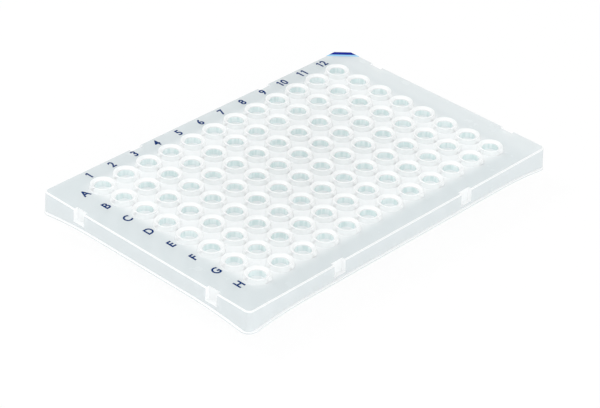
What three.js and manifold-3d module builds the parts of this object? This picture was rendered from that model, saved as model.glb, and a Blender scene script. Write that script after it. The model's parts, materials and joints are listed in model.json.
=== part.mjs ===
// A 96-well plate with a short skirt, moulded in one piece.
//
// Units are millimetres and +Z is up. The plate stands on its tube tips, at z = 0, with its centre at
// x = y = 0. Columns 1 to 12 run along +X and rows A to H along -Y, so that well A1 is at -X, +Y. The
// cut corner is the one beside well A12.

import * as THREE from 'three';
import { mergeVertices } from 'three/addons/utils/BufferGeometryUtils.js';
import Module from 'manifold-3d';

// Grid of wells
const columnCount = 12;
const rowCount = 8;
const wellPitch = 9.0;
const endMargin = 14.38; // from the centres of column 1 to the edge of the foot
const sideMargin = 11.24; // from the centres of row A to the edge of the foot

// Deck and skirt
const deckThickness = 1.0;
const deckCornerRadius = 1.8;
const deckEdgeBevel = 0.35;
const cutCornerLeg = 3.8;
const skirtHeight = 5.7; // from the top of the deck to the foot of the skirt
const skirtWall = 1.0;
const skirtDraft = 0.2; // how far the skirt leans out on its way down
const flangeWidth = 0.5;
const flangeHeight = 0.6;
const flangeCornerRadius = 3.5;

// Slots in the skirt, two on each side, open at the deck and closed at the back
const slotWidth = 4.4;
const slotDepth = 1.3; // into the edge of the deck
const slotSpacing = 54.0; // between the two slots of a side
const slotShift = 0.55; // of both, toward -X on the long sides and toward -Y on the short ones
const slotSill = 0.95; // wall left standing above the flange
const slotWall = 0.7; // behind a slot and at its ends

// Wells
const rimHeight = 1.6; // above the deck
const rimWidth = 0.5; // of its flat top
const rimSpread = 0.4; // how far it spreads on its way down to the deck
const mouthDiameter = 6.4;
const mouthDepth = 0.6; // of the flare that leads into the bore
const boreDiameter = 5.2; // at the foot of the flare
const throatDiameter = 4.3;
const throatDepth = 5.0; // below the mouth, where the wells start to narrow to their tips
const floorDiameter = 1.6;
const floorThickness = 0.5;
const tubeWall = 0.45;
const tubeLength = 13.5; // from the underside of the deck to the tips

// Smoothness of the round shapes
const wellSides = 8;
const cornerSteps = 4;

// Material
const polypropyleneColour = 0xe4ebeb;
const polypropyleneRoughness = 0.35;
const polypropyleneMetalness = 0.0;

// Heights that follow
const deckUnderside = tubeLength;
const deckTop = deckUnderside + deckThickness;
const rimTop = deckTop + rimHeight;
const throatLevel = rimTop - throatDepth;
const skirtFoot = deckTop - skirtHeight;
const flangeTop = skirtFoot + flangeHeight;

// Lengths that follow
const footLength = (columnCount - 1) * wellPitch + 2 * endMargin;
const footWidth = (rowCount - 1) * wellPitch + 2 * sideMargin;
const footOffset = skirtDraft + flangeWidth;
const deckLength = footLength - 2 * footOffset;
const deckWidth = footWidth - 2 * footOffset;

const wasm = await Module();
wasm.setup();

// A closed three.js geometry as a manifold solid
function solidFrom(geometry) {
  const bare = geometry.clone();
  bare.deleteAttribute('normal');
  bare.deleteAttribute('uv');
  const merged = mergeVertices(bare);
  return new wasm.Manifold(new wasm.Mesh({
    numProp: 3,
    vertProperties: Float32Array.from(merged.attributes.position.array),
    triVerts: Uint32Array.from(merged.index.array),
  }));
}

// A manifold solid as a flat-shaded three.js geometry
function geometryFrom(solid) {
  const mesh = solid.getMesh();
  const geometry = new THREE.BufferGeometry();
  geometry.setAttribute('position', new THREE.BufferAttribute(mesh.vertProperties, mesh.numProp));
  geometry.setIndex(new THREE.BufferAttribute(mesh.triVerts, 1));
  const flat = geometry.toNonIndexed();
  flat.computeVertexNormals();
  return flat;
}

// The outline of the plate in plan, offset outward from the edge of the deck: three round corners and,
// at +X +Y, the cut one. All outlines have the same number of points, so they can be lofted.
function plateOutline(offset, radius) {
  const halfLength = deckLength / 2 + offset;
  const halfWidth = deckWidth / 2 + offset;
  const leg = cutCornerLeg + offset * (2 - Math.SQRT2);
  const points = [
    new THREE.Vector2(halfLength, halfWidth - leg),
    new THREE.Vector2(halfLength - leg, halfWidth),
  ];
  const roundCorners = [
    { x: -1, y: 1, start: Math.PI / 2 },
    { x: -1, y: -1, start: Math.PI },
    { x: 1, y: -1, start: 1.5 * Math.PI },
  ];
  for (const corner of roundCorners) {
    const centreX = corner.x * (halfLength - radius);
    const centreY = corner.y * (halfWidth - radius);
    for (let step = 0; step <= cornerSteps; step += 1) {
      const angle = corner.start + (step / cornerSteps) * (Math.PI / 2);
      points.push(new THREE.Vector2(
        centreX + radius * Math.cos(angle),
        centreY + radius * Math.sin(angle),
      ));
    }
  }
  return points;
}

// A circle as a polygon of the same area, with its flats facing the neighbouring wells
function roundOutline(radius) {
  const sector = (2 * Math.PI) / wellSides;
  const cornerDistance = radius * Math.sqrt(sector / Math.sin(sector));
  const points = [];
  for (let side = 0; side < wellSides; side += 1) {
    const angle = (side + 0.5) * sector;
    points.push(new THREE.Vector2(cornerDistance * Math.cos(angle), cornerDistance * Math.sin(angle)));
  }
  return points;
}

// A closed solid through a stack of outlines with as many points each, given from the bottom up
function loft(levels) {
  const count = levels[0].outline.length;
  const positions = [];
  const indices = [];
  for (const { z, outline } of levels) {
    for (const point of outline) positions.push(point.x, point.y, z);
  }
  for (let row = 0; row + 1 < levels.length; row += 1) {
    for (let side = 0; side < count; side += 1) {
      const here = row * count + side;
      const next = row * count + ((side + 1) % count);
      indices.push(here, next, next + count, here, next + count, here + count);
    }
  }
  const topRow = (levels.length - 1) * count;
  for (const [a, b, c] of THREE.ShapeUtils.triangulateShape(levels[0].outline, [])) {
    indices.push(a, c, b, topRow + a, topRow + b, topRow + c);
  }
  const geometry = new THREE.BufferGeometry();
  geometry.setAttribute('position', new THREE.Float32BufferAttribute(positions, 3));
  geometry.setIndex(indices);
  return solidFrom(geometry);
}

// A solid from plate outlines, given as { z, offset }. Its corners follow those of the deck unless a
// level has a radius of its own.
function loftPlate(levels) {
  return loft(levels.map(({ z, offset, radius = deckCornerRadius + offset }) => (
    { z, outline: plateOutline(offset, radius) }
  )));
}

// A round solid about the Z axis from [radius, z] points, given from the bottom up
function loftRound(profile) {
  return loft(profile.map(([radius, z]) => ({ z, outline: roundOutline(radius) })));
}

function boxSolid(centre, size) {
  const geometry = new THREE.BoxGeometry(size.x, size.y, size.z);
  geometry.translate(centre.x, centre.y, centre.z);
  return solidFrom(geometry);
}

// The same solid at every place of the grid
function overGrid(solid) {
  const copies = [];
  for (let row = 0; row < rowCount; row += 1) {
    for (let column = 0; column < columnCount; column += 1) {
      const x = (column - (columnCount - 1) / 2) * wellPitch;
      const y = ((rowCount - 1) / 2 - row) * wellPitch;
      copies.push(solid.translate([x, y, 0]));
    }
  }
  return wasm.Manifold.union(copies);
}

// Deck and skirt as one block, before it is hollowed from below
function outerShell() {
  return loftPlate([
    { z: skirtFoot, offset: footOffset, radius: flangeCornerRadius },
    { z: flangeTop, offset: footOffset, radius: flangeCornerRadius },
    { z: flangeTop, offset: skirtDraft },
    { z: deckTop - deckEdgeBevel, offset: 0 },
    { z: deckTop, offset: -deckEdgeBevel },
  ]);
}

// The hollow under the deck, which runs out below the foot of the skirt
function undersideHollow() {
  const drop = flangeHeight;
  const lean = skirtDraft / (deckTop - deckEdgeBevel - flangeTop);
  return loftPlate([
    { z: skirtFoot - drop, offset: (deckUnderside - skirtFoot + drop) * lean - skirtWall },
    { z: deckUnderside, offset: -skirtWall },
  ]);
}

// A tube from its tip to the top of its rim. The step between the two is buried in the deck.
function tubeBody() {
  const deckMiddle = deckUnderside + deckThickness / 2;
  const rimRadius = mouthDiameter / 2 + rimWidth;
  const rimFootRadius = rimRadius + (rimSpread / rimHeight) * (rimTop - deckMiddle);
  const tipRadius = floorDiameter / 2 + tubeWall;
  const lean = (throatDiameter / 2 + tubeWall - tipRadius) / throatLevel;
  return loftRound([
    [tipRadius, 0],
    [tipRadius + lean * deckMiddle, deckMiddle],
    [rimFootRadius, deckMiddle],
    [rimRadius, rimTop],
  ]);
}

// The space inside a well, carried on past the rim so that the cut is clean
function wellSpace() {
  const overrun = rimHeight;
  const flare = (mouthDiameter - boreDiameter) / 2 / mouthDepth;
  return loftRound([
    [floorDiameter / 2, floorThickness],
    [throatDiameter / 2, throatLevel],
    [boreDiameter / 2, rimTop - mouthDepth],
    [mouthDiameter / 2 + flare * overrun, rimTop + overrun],
  ]);
}

// Boxes at the places of the slots, two on each of the four sides. They run along the side by length,
// from inner to outer across it, measured outward from the edge of the deck, and from bottom to top.
function slotBoxes({ length, inner, outer, bottom, top }) {
  const depth = outer - inner;
  const height = top - bottom;
  const z = bottom + height / 2;
  const boxes = [];
  for (const place of [-slotSpacing / 2, slotSpacing / 2]) {
    const along = place - slotShift;
    for (const side of [-1, 1]) {
      const x = side * (deckLength / 2 + inner + depth / 2);
      const y = side * (deckWidth / 2 + inner + depth / 2);
      boxes.push(boxSolid({ x, y: along, z }, { x: depth, y: length, z: height }));
      boxes.push(boxSolid({ x: along, y, z }, { x: length, y: depth, z: height }));
    }
  }
  return wasm.Manifold.union(boxes);
}

// The walls behind the slots and at their ends, which grow out of the skirt and the deck
function slotPockets() {
  return slotBoxes({
    length: slotWidth + 2 * slotWall,
    inner: -slotDepth - slotWall,
    outer: -skirtWall / 2,
    bottom: flangeTop,
    top: deckUnderside + deckThickness / 2,
  });
}

// The slots themselves, from the sill up through the edge of the deck
function skirtSlots() {
  return slotBoxes({
    length: slotWidth,
    inner: -slotDepth,
    outer: footOffset,
    bottom: flangeTop + slotSill,
    top: rimTop,
  });
}

function wellPlate() {
  const solid = outerShell()
    .subtract(undersideHollow())
    .add(slotPockets())
    .subtract(skirtSlots())
    .add(overGrid(tubeBody()))
    .subtract(overGrid(wellSpace()));
  const material = new THREE.MeshStandardMaterial({
    name: 'natural_polypropylene',
    color: polypropyleneColour,
    roughness: polypropyleneRoughness,
    metalness: polypropyleneMetalness,
  });
  const mesh = new THREE.Mesh(geometryFrom(solid), material);
  mesh.name = 'plate';
  return mesh;
}

const object = new THREE.Group();
object.name = 'well_plate';
object.add(wellPlate());

export default object;
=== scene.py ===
import json
import math

import bmesh
import bpy
from mathutils import Matrix, Vector

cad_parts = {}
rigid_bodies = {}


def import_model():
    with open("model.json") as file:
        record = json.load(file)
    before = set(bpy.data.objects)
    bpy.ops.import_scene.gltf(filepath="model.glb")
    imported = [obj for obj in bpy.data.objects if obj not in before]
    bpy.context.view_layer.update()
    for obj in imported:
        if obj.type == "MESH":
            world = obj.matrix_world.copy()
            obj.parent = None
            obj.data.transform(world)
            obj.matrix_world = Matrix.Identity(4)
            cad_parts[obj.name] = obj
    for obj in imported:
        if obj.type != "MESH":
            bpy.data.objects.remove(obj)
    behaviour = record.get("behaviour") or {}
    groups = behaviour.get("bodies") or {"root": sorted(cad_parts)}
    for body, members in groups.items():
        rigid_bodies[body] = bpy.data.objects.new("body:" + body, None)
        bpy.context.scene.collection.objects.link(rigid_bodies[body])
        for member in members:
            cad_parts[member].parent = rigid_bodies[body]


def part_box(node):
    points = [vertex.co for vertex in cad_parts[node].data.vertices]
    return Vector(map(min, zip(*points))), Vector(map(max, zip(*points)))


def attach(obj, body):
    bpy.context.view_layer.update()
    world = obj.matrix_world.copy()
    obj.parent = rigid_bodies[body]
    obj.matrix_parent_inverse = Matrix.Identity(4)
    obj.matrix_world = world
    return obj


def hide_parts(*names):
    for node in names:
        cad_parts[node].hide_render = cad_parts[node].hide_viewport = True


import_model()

mm = 0.001
hair = 0.001 * mm  # places closer together than this count as one
slack = 0.01 * mm  # room for rounding where faces are looked for
skin = 0.1 * mm  # what lies nearer to a wall than this is the wall itself
ringSlack = 0.02  # how far an edge may be off its ring, as a share of the radius
sharpAngle = math.radians(40)
levelNormal = 0.999  # a face is level when its normal has more than this of the upright
runsAlong = 0.5  # a face runs along an axis when its normal has less than this of it
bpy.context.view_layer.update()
footLow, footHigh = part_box("plate")
halfFoot = (footHigh - footLow) / 2
plateHeight = footHigh.z


# selects these pieces and nothing else, with the first of them active
def choose(*pieces):
    bpy.ops.object.select_all(action="DESELECT")
    for piece in pieces:
        piece.select_set(True)
    bpy.context.view_layer.objects.active = pieces[0]


def startEdit(piece):
    choose(piece)
    bpy.ops.object.mode_set(mode="EDIT")


def endEdit():
    bpy.ops.object.mode_set(mode="OBJECT")


def newPiece(name):
    piece = bpy.context.object
    piece.name = name
    piece.data.name = name
    return piece


# a new piece in edit mode, with nothing in it yet
def startBlank(name):
    bpy.ops.object.select_all(action="DESELECT")
    bpy.ops.mesh.primitive_circle_add(vertices=3, radius=mm)
    piece = newPiece(name)
    startEdit(piece)
    bpy.ops.mesh.select_all(action="SELECT")
    bpy.ops.mesh.delete(type="VERT")
    return piece


# selects what passes the test in edit mode, and nothing else
def pick(piece, mode, test):
    bpy.ops.mesh.select_mode(type=mode)
    bpy.ops.mesh.select_all(action="DESELECT")
    mesh = bmesh.from_edit_mesh(piece.data)
    items = {"VERT": mesh.verts, "EDGE": mesh.edges, "FACE": mesh.faces}[mode]
    picked = [item for item in items if test(item)]
    for item in picked:
        item.select_set(True)
    bmesh.update_edit_mesh(piece.data)
    return len(picked)


def pickEdges(piece, test):
    return pick(piece, "EDGE", test)


def pickFaces(piece, test):
    return pick(piece, "FACE", test)


def pickVerts(piece, test):
    return pick(piece, "VERT", lambda vert: test(vert.co))


def atHeight(edge, height):
    return all(abs(vert.co.z - height) < hair for vert in edge.verts)


def onRing(edge, height, radius):
    middle = sum(math.hypot(vert.co.x, vert.co.y) for vert in edge.verts) / 2
    return atHeight(edge, height) and abs(middle - radius) < ringSlack * radius


def applyModifiers(piece):
    choose(piece)
    for modifier in list(piece.modifiers):
        bpy.ops.object.modifier_apply(modifier=modifier.name)


def settle(piece):
    choose(piece)
    bpy.ops.object.transform_apply(location=True, rotation=True, scale=True)


plate = {
    "columns": 12,
    "rows": 8,
    "pitch": 9.0 * mm,
    "deckThickness": 1.0 * mm,
    "rimHeight": 1.6 * mm,
    "skirtHeight": 5.7 * mm,
    "skirtWall": 1.0 * mm,
    "skirtDraft": 0.2 * mm,
    "flangeWidth": 0.5 * mm,
    "flangeHeight": 0.6 * mm,
    "cornerRadius": 1.8 * mm,
    "cornerSteps": 8,
    "cornerReach": 5.0 * mm,
    "flangeCornerRadius": 3.0 * mm,
    "archDrop": 1.45 * mm,
    "archLength": 19.0 * mm,
    "endArchLength": 20.0 * mm,
    "archCuts": 8,
    "archSlices": 100,
    "cutCorner": 3.8 * mm,
    "deckEdge": 0.4 * mm,
    "slotWidth": 4.4 * mm,
    "slotDepth": 1.3 * mm,
    "slotSpacing": 54.0 * mm,
    "slotShift": 0.55 * mm,
    "slotSill": 0.95 * mm,
    "slotWall": 0.7 * mm,
    "flangeRound": 0.3 * mm,
    "softEdge": 0.12 * mm,
    "roundSteps": 3,
    "softSteps": 2,
    "flatWeight": 80,
    "roundedNormal": (0.15, 0.98),
    "ledgeNormal": 0.2,
    "turnedNormal": 0.2,
}
well = {
    "sides": 32,
    "rimFootRadius": 4.0 * mm,
    "rimRadius": 3.7 * mm,
    "mouthRadius": 3.2 * mm,
    "lipRadius": 2.5 * mm,
    "lipDepth": 0.6 * mm,
    "throatRadius": 2.15 * mm,
    "throatDepth": 5.0 * mm,
    "floorRadius": 0.9 * mm,
    "floorThickness": 0.5 * mm,
    "tubeWall": 0.45 * mm,
    "collarRadius": 2.95 * mm,
    "shoulderRadius": 2.65 * mm,
    "rimRound": 0.2 * mm,
    "footRound": 0.18 * mm,
    "lipRound": 0.35 * mm,
    "throatRound": 0.9 * mm,
    "floorRound": 0.62 * mm,
    "rimStart": 0.3,
    "topNormal": 0.9,
    "topClear": 0.15,
}
deckTop = plateHeight - plate["rimHeight"]
deckUnderside = deckTop - plate["deckThickness"]
skirtFoot = deckTop - plate["skirtHeight"]
flangeTop = skirtFoot + plate["flangeHeight"]
ledgeTop = flangeTop + 0.2 * mm  # the soft edges of the ledge end below this
footOffset = plate["skirtDraft"] + plate["flangeWidth"]
halfLength = halfFoot.x - footOffset
halfWidth = halfFoot.y - footOffset


def columnX(column):
    return (column - (plate["columns"] - 1) / 2) * plate["pitch"]


def rowY(row):
    return ((plate["rows"] - 1) / 2 - row) * plate["pitch"]


# extrudes the selected loop and carries it to a new size and height
def carryLoop(scaleX, scaleY, rise):
    bpy.ops.mesh.extrude_edges_move()
    bpy.ops.transform.resize(value=(scaleX, scaleY, 1), center_override=(0, 0, 0))
    bpy.ops.transform.translate(value=(0, 0, rise))


# a turned wall through (radius, height) points, from a circle at the first of them, closed at the last
def turnWall(profile):
    radius, height = profile[0]
    bpy.ops.mesh.select_all(action="DESELECT")
    bpy.ops.mesh.primitive_circle_add(vertices=well["sides"], radius=radius, location=(0, 0, height))
    for nextRadius, nextHeight in profile[1:]:
        carryLoop(nextRadius / radius, nextRadius / radius, nextHeight - height)
        radius, height = nextRadius, nextHeight
    bpy.ops.mesh.edge_face_add()


# a square frame of loose edges around a ring, with as many corners as the ring has
def squareFrame(piece, height, ring):
    bpy.ops.mesh.select_all(action="DESELECT")
    bpy.ops.mesh.primitive_plane_add(size=plate["pitch"], location=(0, 0, height))
    bpy.ops.mesh.subdivide(number_cuts=well["sides"] // 4 - 1)
    inside = plate["pitch"] / 2 - hair
    pickVerts(piece, lambda co: abs(co.z - height) < hair and max(abs(co.x), abs(co.y)) < inside
              and abs(math.hypot(co.x, co.y) - ring) > 2 * hair)
    bpy.ops.mesh.delete(type="VERT")


def onFrame(edge, height):
    border = plate["pitch"] / 2 - hair
    return atHeight(edge, height) and all(max(abs(vert.co.x), abs(vert.co.y)) > border for vert in edge.verts)


def roundRing(piece, height, radius, width, segments):
    if pickEdges(piece, lambda edge: onRing(edge, height, radius)):
        bpy.ops.mesh.bevel(offset=width, offset_type="OFFSET", segments=segments, profile=0.5)


# the flared mouth and the rim get a painted highlight, nearly white where the plastic gathers light; the bore
# below it gets a tint with painted shade; and the rim around it is clearer
def markRim(tile):
    names = ("edgeLight", "boreTintAndShade", "clearRim")
    for name in names:
        tile.data.attributes.new(name, "FLOAT", "FACE")
    masks = {name: tile.data.attributes[name].data for name in names}
    lip = plateHeight - well["lipDepth"]
    rimFoot = deckTop + well["rimStart"] * well["footRound"]
    for index, face in enumerate(tile.data.polygons):
        reach = math.hypot(face.center.x, face.center.y)
        inward = face.normal.x * face.center.x + face.normal.y * face.center.y < 0
        if face.center.z > lip and reach < well["mouthRadius"]:
            masks["edgeLight"][index].value = 1.0
        elif face.center.z > rimFoot:
            onTop = face.normal.z > well["topNormal"]
            masks["edgeLight"][index].value = 1.0
            masks["clearRim"][index].value = well["topClear"] if onTop else 1.0
        # the bore below the mouth takes a greenish tint with painted shade
        elif inward and face.center.z < lip:
            masks["boreTintAndShade"][index].value = 1.0


def makeWellTile():
    tipOuter = well["floorRadius"] + well["tubeWall"]
    throatLevel = plateHeight - well["throatDepth"]
    tile = startBlank("plate_body")
    turnWall([
        (well["rimFootRadius"], deckTop),
        (well["rimRadius"], plateHeight),
        (well["mouthRadius"], plateHeight),
        (well["lipRadius"], plateHeight - well["lipDepth"]),
        (well["throatRadius"], throatLevel),
        (well["floorRadius"], well["floorThickness"]),
    ])
    turnWall([
        (well["collarRadius"], deckUnderside),
        (well["shoulderRadius"], throatLevel),
        (tipOuter, 0),
    ])
    # a known fault: the bridge at the underside comes out twisted, so its faces cross the bore
    for height, ring in ((deckTop, well["rimFootRadius"]), (deckUnderside, well["collarRadius"])):
        squareFrame(tile, height, ring)
        pickEdges(tile, lambda edge: onRing(edge, height, ring) or onFrame(edge, height))
        bpy.ops.mesh.bridge_edge_loops()
    for height, radius, width, segments in (
        (deckTop, well["rimFootRadius"], well["footRound"], 2),
        (plateHeight, well["rimRadius"], well["rimRound"], 2),
        (plateHeight, well["mouthRadius"], well["rimRound"], 3),
        (plateHeight - well["lipDepth"], well["lipRadius"], well["lipRound"], 2),
        (throatLevel, well["throatRadius"], well["throatRound"], 1),
        (well["floorThickness"], well["floorRadius"], well["floorRound"], 2),
        (deckUnderside, well["collarRadius"], well["footRound"], 2),
        (throatLevel, well["shoulderRadius"], well["throatRound"], 1),
        (0, tipOuter, well["floorRound"], 2),
    ):
        roundRing(tile, height, radius, width, segments)
    bpy.ops.mesh.select_all(action="SELECT")
    bpy.ops.mesh.normals_make_consistent(inside=False)
    endEdit()
    markRim(tile)
    return tile


def repeatTile(tile):
    for axis, count in ((0, plate["columns"]), (1, plate["rows"])):
        copies = tile.modifiers.new("copies", "ARRAY")
        copies.count = count
        copies.use_relative_offset = False
        copies.use_constant_offset = True
        step = [0, 0, 0]
        step[axis] = plate["pitch"]
        copies.constant_offset_displace = step
        copies.use_merge_vertices = True
        copies.merge_threshold = slack
    applyModifiers(tile)
    tile.location.x = columnX(0)
    tile.location.y = rowY(plate["rows"] - 1)
    settle(tile)


# a flat outline of the plate at a height: three round corners and the cut one
def plateOutline(piece, height, offset, radius):
    cornerX, cornerY = halfLength + offset, halfWidth + offset
    cut = plate["cutCorner"] + offset * (2 - math.sqrt(2))

    def sharp(co):
        return abs(co.z - height) < hair and min(abs(co.x) - cornerX, abs(co.y) - cornerY) > -hair

    bpy.ops.mesh.select_all(action="DESELECT")
    bpy.ops.mesh.primitive_plane_add(size=2, location=(0, 0, height))
    bpy.ops.transform.resize(value=(cornerX, cornerY, 1), center_override=(0, 0, height))
    pickVerts(piece, lambda co: sharp(co) and (co.x < 0 or co.y < 0))
    bpy.ops.mesh.bevel(offset=radius, segments=plate["cornerSteps"], affect="VERTICES")
    pickVerts(piece, lambda co: sharp(co) and co.x > 0 and co.y > 0)
    bpy.ops.mesh.bevel(offset=cut, segments=1, affect="VERTICES")


# the outer edge of the ledge: it has an upright face, and none that rises above it
def ledgeEdge(edge):
    upright = [face for face in edge.link_faces if abs(face.normal.z) < runsAlong]
    rising = [face for face in upright if face.calc_center_median().z > flangeTop]
    return atHeight(edge, flangeTop) and len(upright) > 0 and not rising


def makeShell():
    shell = startBlank("shell")
    plateOutline(shell, deckTop, 0, plate["cornerRadius"])
    pickEdges(shell, lambda edge: atHeight(edge, deckTop))
    spread = plate["skirtDraft"]
    carryLoop(1 + spread / halfLength, 1 + spread / halfWidth, flangeTop - deckTop)
    # the outline of the flange is bridged from well below and then lifted, so the bridge isn't twisted
    lift = 30 * mm
    lowered = flangeTop - lift
    plateOutline(shell, lowered, footOffset, plate["flangeCornerRadius"])
    pickFaces(shell, lambda face: abs(face.calc_center_median().z - lowered) < hair)
    bpy.ops.mesh.delete(type="ONLY_FACE")
    pickEdges(shell, lambda edge: atHeight(edge, flangeTop) or atHeight(edge, lowered))
    bpy.ops.mesh.bridge_edge_loops()
    pickEdges(shell, lambda edge: atHeight(edge, lowered))
    bpy.ops.transform.translate(value=(0, 0, flangeTop - lowered))
    offset, height = footOffset, flangeTop
    for nextOffset, nextHeight in (
        (footOffset, skirtFoot),
        (plate["skirtDraft"] - plate["skirtWall"], skirtFoot),
        (-plate["skirtWall"], deckUnderside),
    ):
        scaleX = (halfLength + nextOffset) / (halfLength + offset)
        scaleY = (halfWidth + nextOffset) / (halfWidth + offset)
        carryLoop(scaleX, scaleY, nextHeight - height)
        offset, height = nextOffset, nextHeight
    bpy.ops.mesh.edge_face_add()
    bpy.ops.mesh.select_all(action="SELECT")
    bpy.ops.mesh.normals_make_consistent(inside=False)
    pickEdges(shell, ledgeEdge)
    bpy.ops.mesh.bevel(offset=plate["flangeRound"], segments=plate["roundSteps"], profile=0.5)
    pickEdges(shell, lambda edge: atHeight(edge, deckTop))
    bpy.ops.mesh.bevel(offset=plate["deckEdge"], segments=plate["roundSteps"], profile=0.5)
    endEdit()
    return shell


# the foot and its flange bend down toward the corners, so each side stands on a shallow arch
def archFoot(shell):
    cuts, slices = plate["archCuts"], plate["archSlices"]
    startEdit(shell)
    for cut in range(1, cuts + 1):
        for axis, reach, length in (
            (Vector((1, 0, 0)), halfFoot.x, plate["archLength"]),
            (Vector((0, 1, 0)), halfFoot.y, plate["endArchLength"]),
        ):
            inward = plate["flangeCornerRadius"] + (cut / cuts) * length
            for side in (-1, 1):
                pickFaces(shell, lambda face: face.calc_center_median().z < deckUnderside - skin
                          and abs(face.normal.dot(axis)) < runsAlong)
                bpy.ops.mesh.bisect(plane_co=axis * side * (reach - inward), plane_no=axis)
    # slice by slice away from the corner; the first also takes the whole corner with it
    for index in range(slices):
        low, high = index / slices if index else -1, (index + 1) / slices
        if pickVerts(shell, lambda co: co.z < ledgeTop and low <= pastCorner(co) < high):
            bpy.ops.transform.translate(value=(0, 0, -plate["archDrop"] * (1 - index / slices) ** 2))
    endEdit()


# how far a place is past the round of its corner, as a share of the length of the arch on its side
def pastCorner(co):
    fromEndX, fromEndY = halfFoot.x - abs(co.x), halfFoot.y - abs(co.y)
    if fromEndX < fromEndY:
        return (fromEndY - plate["flangeCornerRadius"]) / plate["endArchLength"]
    return (fromEndX - plate["flangeCornerRadius"]) / plate["archLength"]


# boxes at the places of the slots, as one block: two on each side, as long as asked, from inner to outer
# across the side, measured outward from the edge of the deck, and from bottom to top
def slotBlock(name, length, inner, outer, bottom, top):
    boxes = []
    middle = (inner + outer) / 2
    for side in (-1, 1):
        for place in (-plate["slotSpacing"] / 2, plate["slotSpacing"] / 2):
            along = place - plate["slotShift"]
            for spot, size in (
                ((side * (halfLength + middle), along), (outer - inner, length)),
                ((along, side * (halfWidth + middle)), (length, outer - inner)),
            ):
                bpy.ops.object.select_all(action="DESELECT")
                bpy.ops.mesh.primitive_cube_add(size=1, location=(*spot, (bottom + top) / 2))
                box = bpy.context.object
                box.scale = (*size, top - bottom)
                boxes.append(box)
    choose(*boxes)
    bpy.ops.object.join()
    block = newPiece(name)
    settle(block)
    return block


# walls grow behind the slots and at their ends, and then the slots are cut
def cutSlots(shell):
    width, depth, wall = plate["slotWidth"], plate["slotDepth"], plate["slotWall"]
    inDeck = deckUnderside + plate["deckThickness"] / 2
    pockets = slotBlock(
        "slot_pockets", width + 2 * wall, -depth - wall, -plate["skirtWall"] / 2, flangeTop, inDeck)
    cutter = slotBlock(
        "slot_cutter", width, -depth, footOffset, flangeTop + plate["slotSill"], plateHeight)
    for block, operation in ((pockets, "UNION"), (cutter, "DIFFERENCE")):
        cut = shell.modifiers.new(block.name, "BOOLEAN")
        cut.operation = operation
        cut.solver = "EXACT"
        cut.object = block
    soft = shell.modifiers.new("soft edges", "BEVEL")
    soft.width = plate["softEdge"]
    soft.segments = plate["softSteps"]
    soft.limit_method = "ANGLE"
    soft.angle_limit = sharpAngle
    applyModifiers(shell)
    bpy.data.objects.remove(pockets)
    bpy.data.objects.remove(cutter)


def inSlot(place):
    for across, along, reach in ((place.x, place.y, halfLength), (place.y, place.x, halfWidth)):
        fromMiddle = abs(abs(along + plate["slotShift"]) - plate["slotSpacing"] / 2)
        fromEdge = reach - abs(across)
        behindWall = skin < fromEdge < plate["slotDepth"] + slack
        if fromMiddle < plate["slotWidth"] / 2 + slack and behindWall:
            return place.z > flangeTop + plate["slotSill"] - slack
    return False


# marks the narrow rounded faces, the ledge and the slots, which get a painted highlight: nearly white,
# standing in for the light the plastic gathers there
def markEdges(shell):
    mask = shell.data.attributes.new("edgeLight", "FLOAT", "FACE")
    upward, level = plate["roundedNormal"]
    turned = plate["turnedNormal"]
    marked = 0
    for face, entry in zip(shell.data.polygons, mask.data):
        normal, place = face.normal, face.center
        slanting = upward < abs(normal.z) < level
        ledge = normal.z > plate["ledgeNormal"] and place.z < ledgeTop
        nearCorner = min(abs(place.x) - halfLength, abs(place.y) - halfWidth) > -plate["cornerReach"]
        upright = abs(normal.x) > turned and abs(normal.y) > turned and not nearCorner
        entry.value = 1.0 if slanting or ledge or upright or inSlot(place) else 0.0
        marked += entry.value > 0
    return marked


# the tiles with the wells take the place of the flat deck inside the shell
def makePlate():
    body = makeWellTile()
    repeatTile(body)
    shell = makeShell()
    cutSlots(shell)
    archFoot(shell)
    print("edge faces marked:", markEdges(shell))
    wide = halfLength * halfWidth
    startEdit(shell)
    pickFaces(shell, lambda face: abs(face.normal.z) > levelNormal and face.calc_area() > wide)
    bpy.ops.mesh.delete(type="FACE")
    endEdit()
    choose(body, shell)
    bpy.ops.object.join()
    startEdit(body)
    for height in (deckTop, deckUnderside):
        pickEdges(body, lambda edge: atHeight(edge, height) and edge.is_boundary)
        bpy.ops.mesh.fill(use_beauty=True)
    bpy.ops.mesh.select_all(action="SELECT")
    bpy.ops.mesh.remove_doubles(threshold=hair)
    bpy.ops.mesh.normals_make_consistent(inside=False)
    endEdit()
    bpy.ops.object.shade_smooth_by_angle(angle=sharpAngle)
    weigh = body.modifiers.new("flat faces first", "WEIGHTED_NORMAL")
    weigh.keep_sharp = True
    weigh.weight = plate["flatWeight"]
    applyModifiers(body)
    check = bmesh.new()
    check.from_mesh(body.data)
    openEdges = sum(1 for edge in check.edges if not edge.is_manifold)
    triangles = sum(len(face.verts) - 2 for face in check.faces)
    check.free()
    print("plate body:", triangles, "triangles,", openEdges, "open edges")
    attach(body, "root")
    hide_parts("plate")
    return body


plateBody = makePlate()

legend = {
    "capHeight": 2.95 * mm,
    "narrowing": 0.9,
    "stroke": 0.11 * mm,
    "inkLift": 0.02 * mm,
    "inkDepth": 0.03 * mm,
    "lettersX": -55.45 * mm,
    "lettersShift": 0.9 * mm,
    "numbersY": 39.0 * mm,
    "numbersShift": 1.0 * mm,
    "loneShift": 0.45 * mm,
    "digitStep": 1.95 * mm,
    "curveSteps": 4,
    "flagWidth": 0.5 * mm,
    "flagDrop": 0.4 * mm,
    "flagHeight": 0.55 * mm,
    "sideNormal": -0.9,
}
capShare = 0.729  # cap height of the built-in face, per unit of its size


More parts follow.
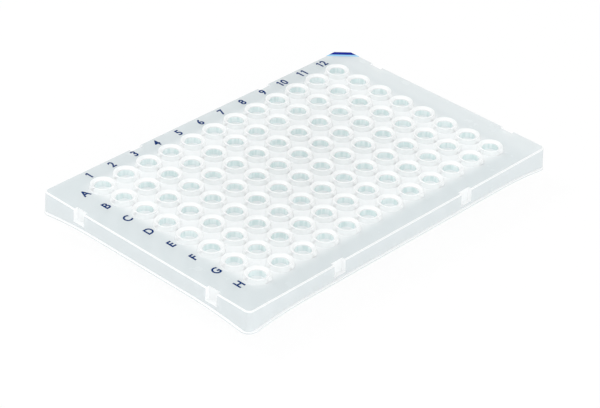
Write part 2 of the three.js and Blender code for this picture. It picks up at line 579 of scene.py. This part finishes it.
def makeSign(letter):
    bpy.ops.object.select_all(action="DESELECT")
    bpy.ops.object.text_add()
    sign = bpy.context.object
    sign.data.body = letter
    sign.data.align_x = "CENTER"
    sign.data.align_y = "CENTER"
    sign.data.size = legend["capHeight"] / capShare
    sign.data.resolution_u = legend["curveSteps"]
    sign.data.offset = legend["stroke"]
    sign.data.extrude = legend["inkDepth"] / 2
    bpy.ops.object.convert(target="MESH")
    sign = bpy.context.object
    if letter == "1":
        addFlag(sign)
    return sign


# the built-in one is a plain bar, so a slanting flag is pulled out of its upper left side
def addFlag(sign):
    root = max(vert.co.y for vert in sign.data.vertices) - legend["flagHeight"]
    startEdit(sign)
    bpy.ops.mesh.select_all(action="SELECT")
    bpy.ops.mesh.bisect(plane_co=(0, root, 0), plane_no=(0, 1, 0))
    pickFaces(sign, lambda face: face.normal.x < legend["sideNormal"] and face.calc_center_median().y > root)
    bpy.ops.mesh.extrude_region_move(
        TRANSFORM_OT_translate={"value": (-legend["flagWidth"], -legend["flagDrop"], 0)})
    bpy.ops.mesh.select_all(action="SELECT")
    bpy.ops.transform.translate(value=(legend["flagWidth"] / 2, 0, 0))
    endEdit()


def printWords(entries, name, material):
    signs = []
    for word, place in entries:
        for index, letter in enumerate(word):
            along = (index - (len(word) - 1) / 2) * legend["digitStep"]
            sign = makeSign(letter)
            sign.scale.x = legend["narrowing"]
            sign.location = (place[0] + along, place[1], deckTop + legend["inkLift"])
            signs.append(sign)
    choose(*signs)
    bpy.ops.object.join()
    words = newPiece(name)
    settle(words)
    words.data.materials.clear()
    words.data.materials.append(material)
    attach(words, "root")


cornerPatch = {
    "inkWidth": 2.0 * mm,
    "haloWidth": 1.0 * mm,
    "wallDrop": 1.8 * mm,
    "sideMargin": 0.35 * mm,
    "lift": 0.02 * mm,
    "thickness": 0.03 * mm,
    "bendSteps": 4,
    "haloBlur": 0.15 * mm,
}


# the blue mark at the cut corner: a strip on the deck that runs on over the edge and down the cut wall
def makeCornerMark(material):
    leg = plate["cutCorner"]
    middle = Vector((halfLength - leg / 2, halfWidth - leg / 2, 0))
    lift = cornerPatch["lift"]
    reach = cornerPatch["inkWidth"] + cornerPatch["haloWidth"]
    edge = plate["deckEdge"]
    bpy.ops.object.select_all(action="DESELECT")
    bpy.ops.mesh.primitive_plane_add(size=1, location=(0, 0, 0))
    mark = newPiece("corner_mark")
    halfEdge = leg / math.sqrt(2) - cornerPatch["sideMargin"]
    mark.scale = (reach - edge, 2 * halfEdge, 1)
    mark.location = (-(reach + edge) / 2, 0, deckTop + lift)
    settle(mark)
    startEdit(mark)
    # the sides of the strip run along the deck's edges, so it widens away from the cut
    for test, back in ((lambda co: co.x < hair - reach, reach), (lambda co: co.x > -edge - hair, edge)):
        pickVerts(mark, test)
        wider = (halfEdge + back) / halfEdge
        bpy.ops.transform.resize(value=(1, wider, 1), center_override=(-back, 0, deckTop))
    pickEdges(mark, lambda side: all(vert.co.x > -edge - hair for vert in side.verts))
    turned = 0
    for step in range(1, cornerPatch["bendSteps"] + 1):
        angle = step / cornerPatch["bendSteps"] * math.pi / 2
        forward = (edge + lift) * (math.sin(angle) - math.sin(turned))
        down = (edge + lift) * (math.cos(angle) - math.cos(turned))
        bpy.ops.mesh.extrude_edges_move(TRANSFORM_OT_translate={"value": (forward, 0, down)})
        turned = angle
    drop = cornerPatch["wallDrop"] - edge
    bpy.ops.mesh.extrude_edges_move(TRANSFORM_OT_translate={"value": (0, 0, -drop)})
    bpy.ops.mesh.select_all(action="SELECT")
    bpy.ops.mesh.normals_make_consistent(inside=False)
    endEdit()
    sheet = mark.modifiers.new("ink film", "SOLIDIFY")
    sheet.thickness = cornerPatch["thickness"]
    sheet.offset = 1
    applyModifiers(mark)
    mark.location = middle
    mark.rotation_euler.z = math.pi / 4
    settle(mark)
    mark.data.materials.append(material)
    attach(mark, "root")


mouldedGrain = {
    "inputs": {"Size": 0.6, "Roughness": 0.35, "Spread": 0.1},
    "fineDetail": 3,
    "cloudScale": 110,
    "cloudDetail": 4,
    "cloudRoughness": 0.6,
}


# the fine grain of a moulded surface, with a roughness that varies in clouds
def makeGrainGroup():
    group = bpy.data.node_groups.new("mouldedGrain", "ShaderNodeTree")
    for name, value in mouldedGrain["inputs"].items():
        socket = group.interface.new_socket(name=name, in_out="INPUT", socket_type="NodeSocketFloat")
        socket.default_value = value
    for name in ("Roughness", "Height"):
        group.interface.new_socket(name=name, in_out="OUTPUT", socket_type="NodeSocketFloat")
    nodes, links = group.nodes, group.links
    entry = nodes.new("NodeGroupInput")
    leave = nodes.new("NodeGroupOutput")
    place = nodes.new("ShaderNodeTexCoord")
    fine = nodes.new("ShaderNodeTexNoise")
    fine.inputs["Detail"].default_value = mouldedGrain["fineDetail"]
    perMetre = nodes.new("ShaderNodeMath")
    perMetre.operation = "DIVIDE"
    perMetre.inputs[0].default_value = 1 / mm
    links.new(entry.outputs["Size"], perMetre.inputs[1])
    links.new(place.outputs["Object"], fine.inputs["Vector"])
    links.new(perMetre.outputs[0], fine.inputs["Scale"])
    cloud = nodes.new("ShaderNodeTexNoise")
    cloud.inputs["Scale"].default_value = mouldedGrain["cloudScale"]
    cloud.inputs["Detail"].default_value = mouldedGrain["cloudDetail"]
    cloud.inputs["Roughness"].default_value = mouldedGrain["cloudRoughness"]
    links.new(place.outputs["Object"], cloud.inputs["Vector"])
    centred = nodes.new("ShaderNodeMath")
    centred.operation = "SUBTRACT"
    centred.inputs[1].default_value = 0.5
    links.new(cloud.outputs["Fac"], centred.inputs[0])
    spread = nodes.new("ShaderNodeMath")
    spread.operation = "MULTIPLY_ADD"
    links.new(centred.outputs[0], spread.inputs[0])
    links.new(entry.outputs["Spread"], spread.inputs[1])
    links.new(entry.outputs["Roughness"], spread.inputs[2])
    links.new(spread.outputs[0], leave.inputs["Roughness"])
    links.new(fine.outputs["Fac"], leave.inputs["Height"])
    return group


grainGroup = makeGrainGroup()


def grainNode(material, size, roughness, spread):
    node = material.node_tree.nodes.new("ShaderNodeGroup")
    node.node_tree = grainGroup
    node.inputs["Size"].default_value = size
    node.inputs["Roughness"].default_value = roughness
    node.inputs["Spread"].default_value = spread
    return node


def bumpFrom(material, height, strength, distance):
    bump = material.node_tree.nodes.new("ShaderNodeBump")
    bump.inputs["Strength"].default_value = strength
    bump.inputs["Distance"].default_value = distance
    material.node_tree.links.new(height, bump.inputs["Height"])
    return bump


# small node helpers: sockets or plain values go in, the result socket comes out
def feed(material, socket, source):
    if isinstance(source, bpy.types.NodeSocket):
        material.node_tree.links.new(source, socket)
    else:
        socket.default_value = source


def mathNode(material, operation, *sources):
    node = material.node_tree.nodes.new("ShaderNodeMath")
    node.operation = operation
    for socket, source in zip(node.inputs, sources):
        feed(material, socket, source)
    return node.outputs[0]


def rampNode(material, value, fromMin, fromMax, toMin=0.0, toMax=1.0):
    node = material.node_tree.nodes.new("ShaderNodeMapRange")
    node.interpolation_type = "SMOOTHSTEP"
    for name, source in (("Value", value), ("From Min", fromMin), ("From Max", fromMax),
                         ("To Min", toMin), ("To Max", toMax)):
        feed(material, node.inputs[name], source)
    return node.outputs["Result"]


def mixNode(material, factor, first, second, kind="RGBA"):
    node = material.node_tree.nodes.new("ShaderNodeMix")
    node.data_type = kind
    for name, source in (("Factor", factor), ("A", first), ("B", second)):
        socket = next(entry for entry in node.inputs if entry.name == name and entry.enabled)
        feed(material, socket, source)
    return next(socket for socket in node.outputs if socket.enabled)


def maskNode(material, name):
    node = material.node_tree.nodes.new("ShaderNodeAttribute")
    node.attribute_name = name
    return node.outputs["Fac"]


def shaderMix(material, factor, first, second):
    node = material.node_tree.nodes.new("ShaderNodeMixShader")
    for socket, source in zip(node.inputs, (factor, first, second)):
        feed(material, socket, source)
    return node.outputs[0]


polypropylene = {
    # painted light and shade: the border, its far end, the walls and the field between the wells differ in
    # colour only by how light falls
    "shadedBorderColour": (0.73, 0.785, 0.80, 1),
    "shadedFarBorderColour": (0.82, 0.865, 0.875, 1),
    "shadedWallColour": (0.775, 0.82, 0.835, 1),
    "litFieldColour": (0.965, 0.985, 0.99, 1),
    "deepColour": (0.95, 0.98, 0.985, 1),
    # the bores: a greenish tint with painted shade, darker further down
    "boreColour": (0.77, 0.88, 0.88, 1),
    "boreDeepShadeColour": (0.72, 0.84, 0.85, 1),
    "streakColour": (0.60, 0.76, 0.76, 1),
    # a painted highlight, nearly white, on the rims, edges, ledge and slots
    "paintedHighlightColour": (0.98, 0.99, 0.99, 1),
    "ior": 1.49,
    "milk": 0.45,
    "tubeBody": 0.6,
    "deckBody": 0.78,
    "rimBody": 0.95,
    "clearBody": 0.65,
    "backClear": 0.75,
    "lightPass": 0.6,
    "facing": (0.3, 0.75),
    "roughness": 0.25,
    "spread": 0.15,
    "grain": 0.5,
    "bump": 0.25,
    "bumpDepth": 0.05 * mm,
    "fieldReach": (0.5 * mm, 6 * mm),
    "farBorder": (5 * mm, 12 * mm),
    "wallBelow": (0.3 * mm, 0.8 * mm),
    "tubeBelow": 6 * mm,
    "boreBelow": (1 * mm, 4.5 * mm),
    "streakScale": (900, 900, 60),
    "streakRange": (0.4, 0.62),
    "streakDetail": 2,
}


def makePolypropylene():
    material = bpy.data.materials.new("frostedPolypropylene")
    material.use_nodes = True
    nodes, links = material.node_tree.nodes, material.node_tree.links
    shader = nodes["Principled BSDF"]
    shader.inputs["IOR"].default_value = polypropylene["ior"]
    grain = grainNode(material, polypropylene["grain"], polypropylene["roughness"], polypropylene["spread"])
    links.new(grain.outputs["Roughness"], shader.inputs["Roughness"])
    bump = bumpFrom(material, grain.outputs["Height"], polypropylene["bump"], polypropylene["bumpDepth"])
    links.new(bump.outputs["Normal"], shader.inputs["Normal"])
    place = nodes.new("ShaderNodeTexCoord")
    parts = nodes.new("ShaderNodeSeparateXYZ")
    links.new(place.outputs["Object"], parts.inputs[0])
    edgeLight = maskNode(material, "edgeLight")
    boreTintAndShade = maskNode(material, "boreTintAndShade")
    clearRim = maskNode(material, "clearRim")
    # the wells as against the plain border, and the deck as against the tubes below it
    field = 1.0
    near, far = polypropylene["fieldReach"]
    for axis, reach in (("X", columnX(plate["columns"] - 1)), ("Y", rowY(0))):
        away = mathNode(material, "ABSOLUTE", parts.outputs[axis])
        field = mathNode(material, "MULTIPLY", field, rampNode(material, away, reach + far, reach + near))
    height = parts.outputs["Z"]
    level = rampNode(material, height, deckTop - polypropylene["tubeBelow"], deckTop)
    shallow = mathNode(material, "MAXIMUM", mathNode(material, "SUBTRACT", 1.0, field), level)
    # streaks that run down the bores
    stretch = nodes.new("ShaderNodeMapping")
    stretch.inputs["Scale"].default_value = polypropylene["streakScale"]
    links.new(place.outputs["Object"], stretch.inputs["Vector"])
    streaks = nodes.new("ShaderNodeTexNoise")
    streaks.inputs["Scale"].default_value = 1
    streaks.inputs["Detail"].default_value = polypropylene["streakDetail"]
    links.new(stretch.outputs["Vector"], streaks.inputs["Vector"])
    streaky = rampNode(material, streaks.outputs["Fac"], *polypropylene["streakRange"])
    # a greenish tint with painted shade in the bores, darker further down
    near, far = polypropylene["boreBelow"]
    sunk = rampNode(material, height, plateHeight - far, plateHeight - near)
    bore = mixNode(material, sunk, polypropylene["boreDeepShadeColour"], polypropylene["boreColour"])
    streaky = mathNode(material, "MULTIPLY", streaky, sunk)
    bore = mixNode(material, streaky, bore, polypropylene["streakColour"])
    # painted light and shade: the border is darker, a little lighter toward the far end, the walls a shade
    # apart, and the field between the wells is painted lit, near white
    near, far = polypropylene["farBorder"]
    farEnd = rampNode(material, parts.outputs["X"], halfLength - far, halfLength - near)
    border = mixNode(material, farEnd, polypropylene["shadedBorderColour"], polypropylene["shadedFarBorderColour"])
    near, far = polypropylene["wallBelow"]
    low = rampNode(material, height, deckTop - near, deckTop - far)
    border = mixNode(material, low, border, polypropylene["shadedWallColour"])
    deck = mixNode(material, field, border, polypropylene["litFieldColour"])
    tint = mixNode(material, shallow, polypropylene["deepColour"], deck)
    tint = mixNode(material, boreTintAndShade, tint, bore)
    # painted highlight: the rims, edges, ledge and slots are painted nearly white
    tint = mixNode(material, edgeLight, tint, polypropylene["paintedHighlightColour"])
    links.new(tint, shader.inputs["Base Color"])
    # how much of the light stays in the plastic: thin walls show what is behind them
    thicker = polypropylene["deckBody"] - polypropylene["tubeBody"]
    body = mathNode(material, "MULTIPLY_ADD", shallow, thicker, polypropylene["tubeBody"])
    body = mixNode(material, edgeLight, body, polypropylene["rimBody"], "FLOAT")
    glancing = nodes.new("ShaderNodeLayerWeight")
    glancing.inputs["Blend"].default_value = 0.5
    wall = rampNode(material, glancing.outputs["Facing"], *polypropylene["facing"],
                    polypropylene["clearBody"], polypropylene["rimBody"])
    body = mixNode(material, clearRim, body, wall, "FLOAT")
    side = nodes.new("ShaderNodeNewGeometry")
    marked = mathNode(material, "MAXIMUM", boreTintAndShade, edgeLight)
    behind = mathNode(material, "MULTIPLY", marked, side.outputs["Backfacing"])
    fade = mathNode(material, "MULTIPLY_ADD", behind, -polypropylene["backClear"], 1.0)
    opacity = mathNode(material, "MULTIPLY", body, fade)
    # light finds its way through the plastic more easily than the eye does
    rays = nodes.new("ShaderNodeLightPath")
    passing = mathNode(material, "MAXIMUM", rays.outputs["Is Shadow Ray"], rays.outputs["Is Diffuse Ray"])
    kept = mathNode(material, "MULTIPLY_ADD", passing, -polypropylene["lightPass"], 1.0)
    opacity = mathNode(material, "MULTIPLY", opacity, kept)
    links.new(opacity, shader.inputs["Alpha"])
    through = nodes.new("ShaderNodeBsdfTranslucent")
    clear = nodes.new("ShaderNodeBsdfTransparent")
    links.new(tint, through.inputs["Color"])
    links.new(bump.outputs["Normal"], through.inputs["Normal"])
    veil = shaderMix(material, opacity, clear.outputs[0], through.outputs[0])
    milky = shaderMix(material, polypropylene["milk"], shader.outputs[0], veil)
    links.new(milky, nodes["Material Output"].inputs["Surface"])
    return material


ink = {
    "navy": (0.0, 0.025, 0.13, 1),
    "deepBlue": (0.0, 0.012, 0.25, 1),
    "paintedGlow": (0.30, 0.58, 0.80, 1),
    "roughness": 0.45,
    "spread": 0.3,
    "gloss": 0.05,
    "grain": 0.25,
    "bump": 0.2,
    "bumpDepth": 0.02 * mm,
}


def makeInk(name):
    material = bpy.data.materials.new(name)
    material.use_nodes = True
    nodes, links = material.node_tree.nodes, material.node_tree.links
    shader = nodes["Principled BSDF"]
    grain = grainNode(material, ink["grain"], ink["roughness"], ink["spread"])
    links.new(grain.outputs["Roughness"], shader.inputs["Roughness"])
    bump = bumpFrom(material, grain.outputs["Height"], ink["bump"], ink["bumpDepth"])
    links.new(bump.outputs["Normal"], shader.inputs["Normal"])
    shader.inputs["Specular IOR Level"].default_value = ink["gloss"]
    return material, shader


# plain navy for the legends
def makeLegendInk():
    material, shader = makeInk("legendInk")
    shader.inputs["Base Color"].default_value = ink["navy"]
    return material


# deep blue at the cut corner, with a pale painted glow on its inner side, standing for the blue light the
# plastic spreads from the ink
def makeCornerInk():
    material, shader = makeInk("cornerInk")
    nodes, links = material.node_tree.nodes, material.node_tree.links
    place = nodes.new("ShaderNodeTexCoord")
    parts = nodes.new("ShaderNodeSeparateXYZ")
    links.new(place.outputs["Object"], parts.inputs[0])
    across = mathNode(material, "ADD", parts.outputs["X"], parts.outputs["Y"])
    cutLine = halfLength + halfWidth - plate["cutCorner"]
    beyond = mathNode(material, "SUBTRACT", cutLine, across)
    inward = mathNode(material, "MULTIPLY", beyond, math.sqrt(0.5))
    width, blur = cornerPatch["inkWidth"], cornerPatch["haloBlur"]
    # the pale band on the inner side is a painted glow
    pale = rampNode(material, inward, width - blur, width + blur)
    links.new(mixNode(material, pale, ink["deepBlue"], ink["paintedGlow"]), shader.inputs["Base Color"])
    return material


frosted = makePolypropylene()
legendInk = makeLegendInk()
plateBody.data.materials.clear()
plateBody.data.materials.append(frosted)

rowEntries = []
for row in range(plate["rows"]):
    rowEntries.append(("ABCDEFGH"[row], (legend["lettersX"], rowY(row) + legend["lettersShift"])))
printWords(rowEntries, "row_letters", legendInk)

columnEntries = []
for column in range(plate["columns"]):
    shift = legend["numbersShift"] + legend["loneShift"] * (column < 9)  # one digit stands further along
    columnEntries.append((str(column + 1), (columnX(column) + shift, legend["numbersY"])))
printWords(columnEntries, "column_numbers", legendInk)

makeCornerMark(makeCornerInk())
print("printing: rows A to H, columns 1 to 12 and the corner mark")

studio = {
    "floorSize": 6.0,
    "floorColour": (0.9, 0.9, 0.9, 1),
    "floorRoughness": 0.9,
    "floorGlow": 0.9,
    "worldLight": 0.85,
    "boxSize": 0.6,
    "keyPower": 4.5,
    "keyPlace": (-0.5, 0.5, 1.1),
    "fillPower": 5.5,
    "fillPlace": (-0.68, -1.05, 0.5),
}


# one for what is seen straight on, in a gloss or through something clear, and nought for lighting
def seenDirectly(tree):
    rays = tree.nodes.new("ShaderNodeLightPath")
    total = rays.outputs["Is Camera Ray"]
    for name in ("Is Glossy Ray", "Is Transmission Ray"):
        either = tree.nodes.new("ShaderNodeMath")
        either.operation = "MAXIMUM"
        tree.links.new(total, either.inputs[0])
        tree.links.new(rays.outputs[name], either.inputs[1])
        total = either.outputs[0]
    return total


def makeFloor():
    bpy.ops.object.select_all(action="DESELECT")
    bpy.ops.mesh.primitive_plane_add(size=studio["floorSize"])
    floor = newPiece("studio_floor")
    material = bpy.data.materials.new("paleFloor")
    material.use_nodes = True
    nodes, links = material.node_tree.nodes, material.node_tree.links
    plain = nodes["Principled BSDF"]
    plain.inputs["Base Color"].default_value = studio["floorColour"]
    plain.inputs["Roughness"].default_value = studio["floorRoughness"]
    plain.inputs["Specular IOR Level"].default_value = 0
    glow = nodes.new("ShaderNodeEmission")
    blend = nodes.new("ShaderNodeMixShader")
    amount = nodes.new("ShaderNodeMath")
    amount.operation = "MULTIPLY"
    amount.inputs[1].default_value = studio["floorGlow"]
    links.new(seenDirectly(material.node_tree), amount.inputs[0])
    links.new(amount.outputs[0], blend.inputs["Fac"])
    links.new(plain.outputs[0], blend.inputs[1])
    links.new(glow.outputs[0], blend.inputs[2])
    links.new(blend.outputs[0], nodes["Material Output"].inputs["Surface"])
    floor.data.materials.append(material)


def makeWorld():
    world = bpy.data.worlds.new("studio")
    bpy.context.scene.world = world
    world.use_nodes = True
    nodes, links = world.node_tree.nodes, world.node_tree.links
    sky = nodes["Background"]
    sky.inputs["Color"].default_value = (1, 1, 1, 1)
    strength = nodes.new("ShaderNodeMapRange")
    strength.inputs["To Min"].default_value = studio["worldLight"]
    strength.inputs["To Max"].default_value = 1
    links.new(seenDirectly(world.node_tree), strength.inputs["Value"])
    links.new(strength.outputs["Result"], sky.inputs["Strength"])


# a square soft lamp that faces the plate
def softbox(name, power, place):
    bpy.ops.object.select_all(action="DESELECT")
    bpy.ops.object.light_add(type="AREA", location=place)
    lamp = bpy.context.object
    lamp.name = name
    lamp.data.shape = "RECTANGLE"
    lamp.data.size = lamp.data.size_y = studio["boxSize"]
    lamp.data.energy = power
    lamp.rotation_euler = Vector(place).to_track_quat("Z", "Y").to_euler()


view = {
    "azimuth": math.radians(-47.28),
    "elevation": math.radians(32.51),
    "roll": math.radians(2.32),
    "distance": 686.6 * mm,
    "drop": 10.5 * mm,
    "lens": 139.8,
    "sensor": 36,
    "clipStart": 0.01,
}


def makeCamera():
    centre = Vector((0, 0, deckTop))
    turn = Matrix.Rotation(view["azimuth"], 3, "Z")
    turn = turn @ Matrix.Rotation(math.pi / 2 - view["elevation"], 3, "X")
    turn = turn @ Matrix.Rotation(view["roll"], 3, "Z")
    place = centre + turn @ Vector((0, -view["drop"], view["distance"]))
    bpy.ops.object.select_all(action="DESELECT")
    bpy.ops.object.camera_add(location=place)
    camera = bpy.context.object
    camera.name = "view"
    camera.rotation_euler = turn.to_euler()
    camera.data.sensor_width = view["sensor"]
    camera.data.lens = view["lens"]
    camera.data.clip_start = view["clipStart"]
    bpy.context.scene.camera = camera


makeFloor()
makeWorld()
softbox("key", studio["keyPower"], studio["keyPlace"])
softbox("fill", studio["fillPower"], studio["fillPlace"])
makeCamera()
bpy.context.scene.view_settings.view_transform = "Standard"
print("stage: floor, two softboxes and the camera")
